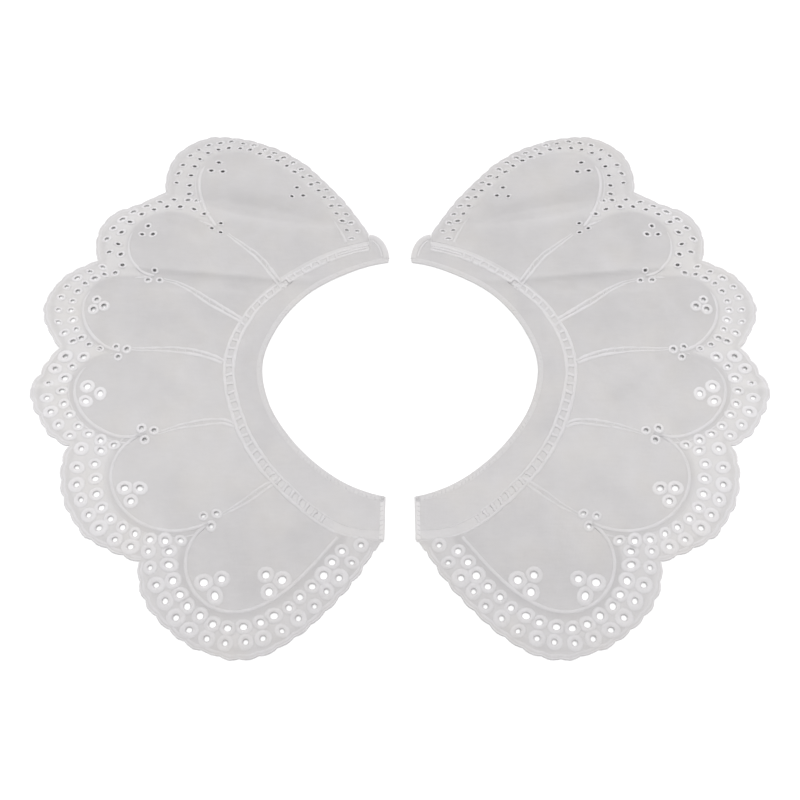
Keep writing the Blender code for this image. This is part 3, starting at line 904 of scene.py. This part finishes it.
def sweepTree():
    # a thread bundle of oval section along lines, with its stitches counted
    tree, given = newTree("sweepThread", Float="Width Height Step Pitch Uneven Wander Seed",
                          Int="Sides", Material="Material")
    line = made(tree, "GeometryNodeMeshToCurve", {"Mesh": given["Geometry"]})
    even = made(tree, "GeometryNodeResampleCurve", {"Curve": line, "Length": given["Step"]},
                mode="LENGTH")
    cloud, swell = (addNode(tree, "ShaderNodeTexNoise",
                            {"Scale": scale, "Detail": 1.0, "W": given["Seed"]},
                            noise_dimensions="4D").outputs
                    for scale in (threads["stirs"], threads["swells"]))
    aside = vectors(tree, "SUBTRACT", cloud["Color"], (0.5, 0.5, 0.5))
    level = vectors(tree, "MULTIPLY", aside, threads["sideways"])
    step = made(tree, "ShaderNodeVectorMath", {0: level, "Scale": given["Wander"]},
                operation="SCALE")
    loose = made(tree, "GeometryNodeSetPosition", {"Geometry": even, "Offset": step})
    upright = made(tree, "GeometryNodeSetCurveNormal", {"Curve": loose}, mode="Z_UP")
    uneven = maths(tree, "MULTIPLY_ADD", maths(tree, "SUBTRACT", swell["Fac"], 0.5),
                   given["Uneven"], 1.0)
    full = made(tree, "GeometryNodeInputNamedAttribute", {"Name": "full"}, data_type="FLOAT")
    run = addNode(tree, "GeometryNodeSplineParameter").outputs["Length"]
    counted = made(tree, "GeometryNodeStoreNamedAttribute",
                   {"Geometry": upright, "Name": "stitch",
                    "Value": maths(tree, "DIVIDE", run, given["Pitch"])},
                   data_type="FLOAT", domain="POINT")
    ring = made(tree, "GeometryNodeCurvePrimitiveCircle",
                {"Resolution": given["Sides"], "Radius": 0.5})
    section = made(tree, "GeometryNodeTransform",
                   {"Geometry": ring, "Scale": vector(tree, given["Width"], given["Height"], 1.0)})
    tube = made(tree, "GeometryNodeCurveToMesh",
                {"Curve": counted, "Profile Curve": section, "Fill Caps": True,
                 "Scale": maths(tree, "MULTIPLY", uneven, full)})
    return endTree(tree, tube, given["Material"])


def formsAt(tree, form, points, turn, scale):
    shape = addNode(tree, "GeometryNodeObjectInfo", {"Object": form}).outputs["Geometry"]
    return made(tree, "GeometryNodeInstanceOnPoints",
                {"Points": points, "Instance": shape, "Rotation": turn, "Scale": scale})


def stitchTree():
    # single stitches at even distances along lines, each turned and sized a little by chance
    tree, given = newTree("setStitches", Object="Stitch", Float="Spacing Lean Stray Smallest",
                          Int="Seed", Material="Material")
    line = made(tree, "GeometryNodeMeshToCurve", {"Mesh": given["Geometry"]})
    points = addNode(tree, "GeometryNodeCurveToPoints", {"Curve": line, "Length": given["Spacing"]},
                     mode="LENGTH").outputs
    turn = made(tree, "FunctionNodeAxesToRotation",
                {"Primary Axis": points["Tangent"], "Secondary Axis": (0.0, 0.0, 1.0)},
                primary_axis="X", secondary_axis="Z")
    low, high = (maths(tree, way, given["Lean"], given["Stray"]) for way in ("SUBTRACT", "ADD"))
    angle, scale = (addNode(tree, "FunctionNodeRandomValue", {2: a, 3: b, "Seed": given["Seed"]},
                            data_type="FLOAT").outputs[1]
                    for a, b in ((low, high), (given["Smallest"], 1.0)))
    leaned = made(tree, "FunctionNodeRotateRotation",
                  {"Rotation": turn, "Rotate By": vector(tree, z=angle)},
                  rotation_space="LOCAL")
    return endTree(tree, formsAt(tree, given["Stitch"], points[0], leaned, scale),
                   given["Material"])


def rimTree():
    # one satin rim on each eyelet point, lying in the cloth's slope
    tree, given = newTree("seatRims", Object="Rim", Float="Uneven", Int="Seed", Material="Material")
    size, lean = (made(tree, "GeometryNodeInputNamedAttribute", {"Name": name},
                       data_type="FLOAT_VECTOR") for name in ("size", "lean"))
    ends = [vector(tree, end, end, 1.0)
            for end in (maths(tree, way, 1.0, given["Uneven"]) for way in ("SUBTRACT", "ADD"))]
    aim, stretch = (made(tree, "FunctionNodeRandomValue", {0: a, 1: b, "Seed": given["Seed"]},
                         data_type="FLOAT_VECTOR")
                    for a, b in (((1.0, -0.5, 0.0), (1.0, 0.5, 0.0)), ends))
    turn = made(tree, "FunctionNodeAxesToRotation", {"Primary Axis": lean, "Secondary Axis": aim},
                primary_axis="Z", secondary_axis="X")
    scale = vectors(tree, "MULTIPLY", stretch, size)
    return endTree(tree, formsAt(tree, given["Rim"], given["Geometry"], turn, scale),
                   given["Material"])


sweepThread, setStitches, seatRims = sweepTree(), stitchTree(), rimTree()


def grown(source, tree, inputs):
    # what the tree makes of the source mesh, as a plain mesh
    holder = put(tree.name, source)
    modifier = holder.modifiers.new(tree.name, "NODES")
    modifier.node_group = tree
    for item in tree.interface.items_tree:
        if item.in_out == "INPUT" and item.name in inputs:
            modifier[item.identifier] = inputs[item.name]
    graph = bpy.context.evaluated_depsgraph_get()
    mesh = bpy.data.meshes.new_from_object(holder.evaluated_get(graph))
    holder.modifiers.clear()
    bpy.data.objects.remove(holder)
    return mesh


def lineMesh(lines, lift, full=None):
    # lines laid on the cloth as a mesh of edges, each point with its share of the full size
    coords, edges = [], []
    for line in lines:
        first = len(coords)
        coords += laid(line, lift)
        edges += [(i, i + 1) for i in range(first, len(coords) - 1)]
    mesh = rawMesh("lines", coords, edges, [], middleY)
    addFloats(mesh, "full", full or [1.0] * len(coords))
    addPacked(mesh, "threads", coords)
    return mesh


def sweep(lines, form, seed, full=None):
    # a thread along lines: its width, height, lift over the cloth and how uneven it is
    return grown(lineMesh(lines, form["lift"], full), sweepThread, {
        "Width": form["width"] * mm, "Height": form["tall"] * mm, 
        "Step": threads["step"] * mm, "Pitch": threads["pitch"] * mm,
        "Uneven": form.get("uneven", threads["uneven"]),
        "Wander": form.get("wander", 0.0) * mm, "Seed": float(seed), "Sides": threads["sides"],
        "Material": cordThread})


def around(sides):
    return [(math.cos(2 * math.pi * i / sides), math.sin(2 * math.pi * i / sides))
            for i in range(sides)]


def formOf(name, mesh, stitches, domain="POINT"):
    addFloats(mesh, "stitch", stitches, domain)
    return put(name, mesh)


def ringForm(name, sections, fades, sides, stitches):
    # closed ring round +Z from sections of radius and height, with its stitches counted
    coords = [(r * x, r * y, z) for r, z in sections for x, y in around(sides)]
    faces, counts = [], []
    for k in range(len(sections)):
        here, after = k * sides, (k + 1) % len(sections) * sides
        for i in range(sides):
            j = (i + 1) % sides
            faces.append((here + i, after + i, after + j, here + j))
            a, b = i / sides * stitches, (i + 1) / sides * stitches
            counts += [a, a, b, b]
    mesh = rawMesh(name, coords, [], faces)
    addFloats(mesh, "fade", [fade for fade in fades for i in range(sides)])
    for edge in mesh.edges:
        first, second = (corner // sides for corner in edge.vertices)
        edge.use_edge_sharp = first == second and first in (0, len(sections) - 1)
    return formOf(name, mesh, counts, "CORNER")


def barForm(name, form):
    # thread bar along Y, fuller at its ends
    sections = [(-0.5, 0.6), (-0.32, 1.0), (0.0, form["waist"]), (0.32, 1.0), (0.5, 0.6)]
    sides = 6
    coords = [(form["width"] / 2 * full * x, form["length"] * at, form["tall"] / 2 * full * z)
              for at, full in sections for x, z in around(sides)]
    faces = [(k + i, k + sides + i, k + sides + (i + 1) % sides, k + (i + 1) % sides)
             for k in range(0, len(coords) - sides, sides) for i in range(sides)]
    faces += [tuple(range(sides)), tuple(reversed(range(len(coords) - sides, len(coords))))]
    return formOf(name, rawMesh(name, coords, [], faces),
                  [(at + 0.5) * form["stitches"] for at, _ in sections for i in range(sides)])


def setAlong(lines, name, form, seed):
    # bars set along lines
    bar = barForm(name, form)
    mesh = grown(lineMesh(lines, form["lift"]), setStitches, {
        "Stitch": bar, "Spacing": form["spacing"] * mm, "Lean": form["lean"],
        "Stray": form["stray"], "Smallest": form["smallest"], "Seed": seed,
        "Material": cordThread})
    bpy.data.objects.remove(bar)
    return mesh


# ---- satin rims of the eyelets ----
rim = {
    # radius and height in hole radii: inner foot, lip, crown, shoulder, outer foot
    "broad": [(1.04, -0.14), (1.0, 0.0), (1.35, 0.13), (2.1, 0.12), (2.65, -0.06)],
    "wide": [(1.04, -0.16), (1.0, 0.0), (1.6, 0.17), (2.8, 0.16), (3.6, -0.08)],
    "fine": [(1.04, -0.16), (1.0, 0.0), (1.35, 0.13), (2.0, 0.11), (2.6, -0.06)],
    "fades": [0.0, 0.0, 0.0, 0.0, 0.6],    # how far the stitches thin out into the cloth, greyed there by painted shade
    "sides": 12, "stitches": 38, "uneven": 0.13,
    "slopeStep": 1.5,                      # either side of an eyelet, where the slope is taken
    "seeds": {"broad": 4, "wide": 6, "fine": 9},
}


def rimPoints(chosen):
    xs, ys = axes(chosen)
    tops = heights(xs, ys) + panelRelief(xs, ys)
    mesh = rawMesh("rimPoints", list(zip(xs, ys, tops)), [], [], middleY)
    step = rim["slopeStep"]
    slopeX = (heights(xs + step, ys) - heights(xs - step, ys)) / (2 * step)
    slopeY = (heights(xs, ys + step) - heights(xs, ys - step)) / (2 * step)
    sizes = np.array([(hole.wide / 2, hole.tall / 2, hole.wide / 2) for hole in chosen])
    leans = np.stack([-slopeX, -slopeY, np.ones(len(xs))], 1)
    for name, values in (("size", sizes), ("lean", leans)):
        layer = mesh.attributes.new(name, "FLOAT_VECTOR", "POINT")
        layer.data.foreach_set("vector", values.astype(np.float32).ravel())
    addPacked(mesh, "rims", chosen)
    return mesh


for form, seed in rim["seeds"].items():
    holder = ringForm("rimForm", rim[form], rim["fades"], rim["sides"], rim["stitches"])
    rims = grown(rimPoints([hole for hole in eyelets if hole.form == form]), seatRims, {
        "Rim": holder, "Uneven": rim["uneven"], "Seed": seed, "Material": satinThread})
    bpy.data.objects.remove(holder)
    addPiece(form + "Rims", rims)

# ---- corded petal outlines ----
outlineCord = {"width": 2.2, "tall": 0.72, "lift": -0.12, "faintest": 0.3}
fineCord = {"width": 1.4, "tall": 0.5, "lift": -0.1, "uneven": 0.5, "ends": 20,
            "offsets": [2.3, 2.5, 2.9, 3.4, 3.5], "share": [0.9, 0.6, 0.7, 1.0, 0.8]}
fulls = [fullness(line, [max(outlineCord["faintest"], v) for v in values])
         for line, values in zip(outlines, strengths)]
addPiece("outlineCords", sweep(outlines, outlineCord, 3, sum(fulls, [])))
ends = slice(fineCord["ends"], -fineCord["ends"])
fineLines = [moved(line, offset)[ends] for line, offset in zip(outlines, fineCord["offsets"])]
fineFulls = [share * v for full, share in zip(fulls, fineCord["share"]) for v in full[ends]]
addPiece("fineCords", sweep(fineLines, fineCord, 14, fineFulls))

# ---- twin lines from each junction to the ladder, with small ties between them ----
twinLines = {
    "routes": [[(-99.5, 86), (-87.4, 76.6), (-79, 69.1), (-71, 58.5), (-65.4, 51.6)],
               [(-134, 57), (-124.7, 54.4), (-108.7, 44.4), (-92.3, 34.5), (-88, 32)],
               [(-149, 14.6), (-140.7, 14.4), (-126.9, 14.4), (-110.2, 12.2), (-97, 7.2)],
               [(-130, -34.5), (-122.8, -32), (-112.4, -29.2), (-96.4, -27.5), (-88.2, -29.7)],
               [(-93, -79), (-82.9, -72.9), (-70.5, -63.8), (-63.5, -59.4)]],
    "halfGap": [0.55, 0.8, 1.2, 1.45, 1.2, 0.85],    # from the eyelets to the ladder
    "width": 1.9, "tall": 0.5, "lift": -0.1, "wander": 0.9, "full": [0.55, 0.8, 0.85, 1.05, 1.1],
    "uneven": 1.3, "step": 1.0, "tied": (8, -4),    # stations between which ties are sewn
}
tie = {"length": 2.9, "width": 0.8, "tall": 0.3, "waist": 0.7, "stitches": 4, "lift": -0.02,
       "spacing": 4.4, "lean": 0.25, "stray": 0.6, "smallest": 0.5}
twins, centres = [], []
for route in twinLines["routes"]:
    middle = softLine(route, twinLines["step"])
    half = fullness(middle, twinLines["halfGap"])
    twins += [moved(middle, half), moved(middle, [-h for h in half])]
    centres.append(middle[slice(*twinLines["tied"])])
twinFulls = [share for line in twins for share in fullness(line, twinLines["full"])]
addPiece("twinLines", sweep(twins, twinLines, 5, twinFulls))
addPiece("twinTies", setAlong(centres, "tie", tie, 8))

# ---- ladder insertion ----
ladder = {
    "floorDrop": 0.03, "thick": 0.26,
    # distance of each cord from the ladder's middle and its share of the full size, front to back
    "outerCord": [2.1, 2.5, 2.5, 2.4, 2.3, 2.1, 1.9, 1.2, 0.4, 0.3, 0.4],
    "neckCord": [-2.8, -2.7, -2.7, -2.7, -2.7, -2.8, -2.8, -2.7, -2.7, -2.8, -2.8],
    "outerFull": [0.35, 0.75, 0.95, 1.1, 1.1, 1.0, 0.95, 0.8, 0.7, 0.7, 0.6],
    "neckFull": [0.3, 0.45, 0.65, 0.85, 0.95, 1.0, 1.0, 0.9, 0.85, 0.85, 0.7],
    "packed": [0.1, 0.0, 0.0, 0.0, 0.25, 0.5],    # the net, closer towards the back
    "stations": 200,
    "rungsFrom": 26, "rungsTo": 184,    # stations: rungs fade at the front and stop at the back
    "seamFull": [0.2, 0.9, 1.0, 0.8], "seamLap": 4,
}
cord = {"width": 2.3, "tall": 0.7, "lift": -0.12, "uneven": 0.9, "wander": 1.0}
seam = {"width": 1.7, "tall": 0.7, "lift": -0.12, "uneven": 0.6}
rung = {"length": 5.0, "width": 3.0, "tall": 0.7, "waist": 0.66, "stitches": 6, "lift": -0.08,
        "spacing": 5.2, "lean": 0.0, "stray": 0.3, "smallest": 0.82}
halfLadder = cut["ladderWide"] / 2


def ladderRow(offset):
    return ladderLine(offset, cut["frontX"] + cut["seamGap"], cut["backX"], ladder["stations"])


def ladderCord(offsets):
    # a line along the ladder, at distances from its middle listed from front to back
    low, high = ladderRow(-halfLadder), ladderRow(halfLadder)
    return between(low, high, [(at / halfLadder + 1) / 2 for at in fullness(low, offsets)])


# the net floor from side to side, then its underside
floorLines = [laid(ladderRow(halfLadder * share), -ladder["floorDrop"] - drop) for share, drop in (
    (1, 0.0), (0.5, 0.0), (0, 0.0), (-0.5, 0.0), (-1, 0.0), (-1, ladder["thick"]),
    (1, ladder["thick"]))]
netMesh = stripMesh("ladderNet", list(reversed(floorLines)), netThread)
addFloats(netMesh, "border", fullness(floorLines[0], ladder["packed"]) * len(floorLines))
addPiece("ladderNet", netMesh, node="ladder")
cordLines = [ladderCord(ladder["outerCord"]), ladderCord(ladder["neckCord"])]
cordFull = (fullness(cordLines[0], ladder["outerFull"])
            + fullness(cordLines[1], ladder["neckFull"]))
addPiece("ladderCords", sweep(cordLines, cord, 7, cordFull))
midCord = ladderCord([(a + b) / 2 for a, b in zip(ladder["outerCord"], ladder["neckCord"])])
rungRow = midCord[ladder["rungsFrom"]:ladder["rungsTo"]]
addPiece("ladderRungs", setAlong([rungRow], "rung", rung, 11))
# towards the back the ladder is one seam
seamLine = midCord[ladder["rungsTo"] - ladder["seamLap"]:-1]
addPiece("backSeam", sweep([seamLine], seam, 17, fullness(seamLine, ladder["seamFull"])))

# ---- neckband ----
band = {"spacing": 1.6, "thick": 0.3, "hemWide": 2.1, "stations": 150, "sideStations": 130,
        "frontPale": 0.12, "paleFrom": -30.0, "paleOver": 40.0}    # paler towards the front
bandBack = cut["backX"] - cut["seamGap"]
bandSide = ladderLine(cut["lap"] - halfLadder, cut["frontX"], bandBack, band["sideStations"])
neckEdge = [polar(softRow(neckColumn, b), b)
            for b in np.linspace(cut["neckBack"], cut["neckFront"], band["stations"] + 1)]
neckEdge[0] = (-cut["tipX"], neckEdge[0][1])
neckEdge[-1] = (-cut["frontX"], neckEdge[-1][1])
tipLine = [(-bandBack + (bandBack - cut["tipX"]) * math.sin(math.radians(a)),
            neckEdge[0][1] + cut["tipTall"] * math.cos(math.radians(a))) for a in range(0, 90, 6)]


def bandPaleness(x, y):
    return band["frontPale"] * rise((band["paleFrom"] - y) / band["paleOver"])


bandMesh = clothShell("neckband", list(reversed(neckEdge + bandSide + tipLine)), [], [],
                      band["spacing"], lambda x, y: np.zeros(x.shape), band["thick"], bandLawn,
                      {"border": bandPaleness})
bands = addPiece("neckband", bandMesh, "neckband")

hem = {
    # across the hem, neck edge to inner foot: share of its width, height over the cloth
    "section": [(-0.3, -0.3), (-0.36, -0.14), (-0.3, -0.02), (-0.1, 0.07), (0.3, 0.12), (0.6, 0.14),
                (0.85, 0.1), (1.2, -0.04), (1.0, -0.28)],
    "groove": [1.0, 1.0, 1.0, 0.5, 0.0, 0.0, 0.0, 0.0, 0.0],    # painted shade, greyer at the folded neck edge
    "neckFoldShade": [0.0, 0.0, 0.4, 0.8, 1.0, 1.0, 0.8],            # share of that painted shade, from back to front
    # off the cloth's edge, from back to front
    "drift": [0.0, 0.0, -0.35, -0.45, -0.45, -0.2, 0.0, 0.0],
    "pale": 0.45, "frontPale": 0.9, "frontFoldShade": [0.6, 0.6], "frontWide": 1.8, "frontLong": 22.0,
    "pitch": 1.2, "stitchIn": 1.1, "ridgeIn": 3.4, "ridge": (4, -3),
    "stations": 260, "tipStations": 30, "frontStations": 24, "frontFrom": -0.5, "frontSlant": 0.02,
}
tipRidge = {"width": 1.1, "tall": 0.5, "lift": -0.08, "uneven": 0.5}
overlock = {"length": 2.0, "width": 0.6, "tall": 0.3, "waist": 0.8, "stitches": 4, "lift": 0.1,
            "spacing": 2.3, "lean": 0.35, "stray": 0.3, "smallest": 0.6}


def hemStrip(edge, wide, foldShade, pale):
    # turned edge with its stitched ridge, folded from the line of the edge inwards
    lines = [laid(moved(edge, wide * share), lift) for share, lift in reversed(hem["section"])]
    strip = stripMesh("hem", lines, bandLawn, hem["pitch"])
    addFloats(strip, "border", [pale] * len(strip.vertices))
    # painted shade along the hem's folded edge
    addFloats(strip, "groove", [shadeShare * share for shadeShare in reversed(hem["groove"])
                                for share in fullness(edge, foldShade)])
    return strip


frontEdge = [(-cut["frontX"] - hem["frontSlant"] * step, neckEdge[-1][1] - step)
             for step in np.linspace(hem["frontFrom"], hem["frontLong"], hem["frontStations"])]
hemEdge = spaced(neckEdge, hem["stations"])
hemEdge = moved(hemEdge, fullness(hemEdge, hem["drift"]))
tipEdge = spaced(tipLine[::-1], hem["tipStations"])[::-1]
addPiece("neckHem", joined("neckHem", [
    hemStrip(hemEdge, band["hemWide"], hem["neckFoldShade"], hem["pale"]),
    hemStrip(frontEdge, hem["frontWide"], hem["frontFoldShade"], hem["frontPale"]),
    hemStrip(tipEdge, band["hemWide"], [0.0, 0.0], hem["pale"])]))
ridgeLine = moved(tipEdge[slice(*hem["ridge"])], hem["ridgeIn"])
addPiece("tipSeam", sweep([ridgeLine], tipRidge, 23))
stitched = [moved(line, hem["stitchIn"]) for line in (hemEdge, frontEdge)]
addPiece("hemStitches", setAlong(stitched, "overlock", overlock, 21))

# ---- areas of the panel and the neckband ----
print("panel area", sum(p.area for p in panelMesh.polygons) / 2, "band area",
      sum(p.area for p in bandMesh.polygons) / 2)

# ---- table, light and camera ----
studio = {"floor": "#FFFFFF", "floorHalf": 4.0, "wall": 1.02, "dim": 0.48, "overhead": 0.80,
          "key": 1.62, "keyFrom": 28.0, "keySoft": 50.0,
          "wallTop": (0.1, 0.25), "boxRim": (0.3, 0.9),    # heights that each fades between
          "camera": (0.0, -0.1831, 0.45706), "down": 70.0, "lens": 40.5}


def addFloor():
    # matt white laminate sheet: even and without gloss
    material, tree, shader = newMaterial("whiteTable", Roughness=0.9, Specular_IOR_Level=0.1)
    shader.inputs["Base Color"].default_value = linear(studio["floor"])
    far = studio["floorHalf"] / mm
    mesh = rawMesh("table", [(-far, -far, 0), (far, -far, 0), (far, far, 0), (-far, far, 0)],
                   [], [(0, 1, 2, 3)])
    mesh.materials.append(material)
    floor = put("table", mesh)


def addLight():
    # a broad even light from behind the collar and above
    light = bpy.data.lights.new("softKey", "SUN")
    light.energy, light.angle = studio["key"], math.radians(studio["keySoft"])
    put("softKey", light).rotation_euler = (-math.radians(studio["keyFrom"]), 0.0, 0.0)


def addWorld():
    # studio: white walls level with the table, dim above them and a soft box overhead
    world = bpy.data.worlds.new("softWorld")
    world.use_nodes = True
    sky = world.node_tree
    up = addNode(sky, "ShaderNodeSeparateXYZ",
                 {"Vector": addNode(sky, "ShaderNodeTexCoord").outputs["Generated"]}).outputs["Z"]
    walls = spread(sky, up, *studio["wallTop"], **{"To Min": studio["wall"], "To Max": 0.0})
    low, high = studio["boxRim"]
    box = addNode(sky, "ShaderNodeMapRange",
                  {"Value": up, "From Min": low, "From Max": high, "To Min": studio["dim"],
                   "To Max": studio["overhead"]}, interpolation_type="SMOOTHSTEP")
    background = sky.nodes["Background"]
    background.inputs["Color"].default_value = (1.0, 1.0, 1.0, 1.0)
    sky.links.new(maths(sky, "MAXIMUM", walls, box.outputs["Result"]),
                  background.inputs["Strength"])
    bpy.context.scene.world = world


def addCamera():
    camera = bpy.data.cameras.new("camera")
    camera.lens, camera.sensor_width, camera.clip_start = studio["lens"], 36.0, 0.01
    holder = put("camera", camera)
    holder.location = studio["camera"]
    holder.rotation_euler = (math.radians(90.0 - studio["down"]), 0.0, 0.0)
    bpy.context.scene.camera = holder


addFloor()
addLight()
addWorld()
addCamera()
bpy.context.scene.view_settings.view_transform = "Standard"
print("studio set")

for material in list(bpy.data.materials):
    if material.users == 0:
        bpy.data.materials.remove(material)
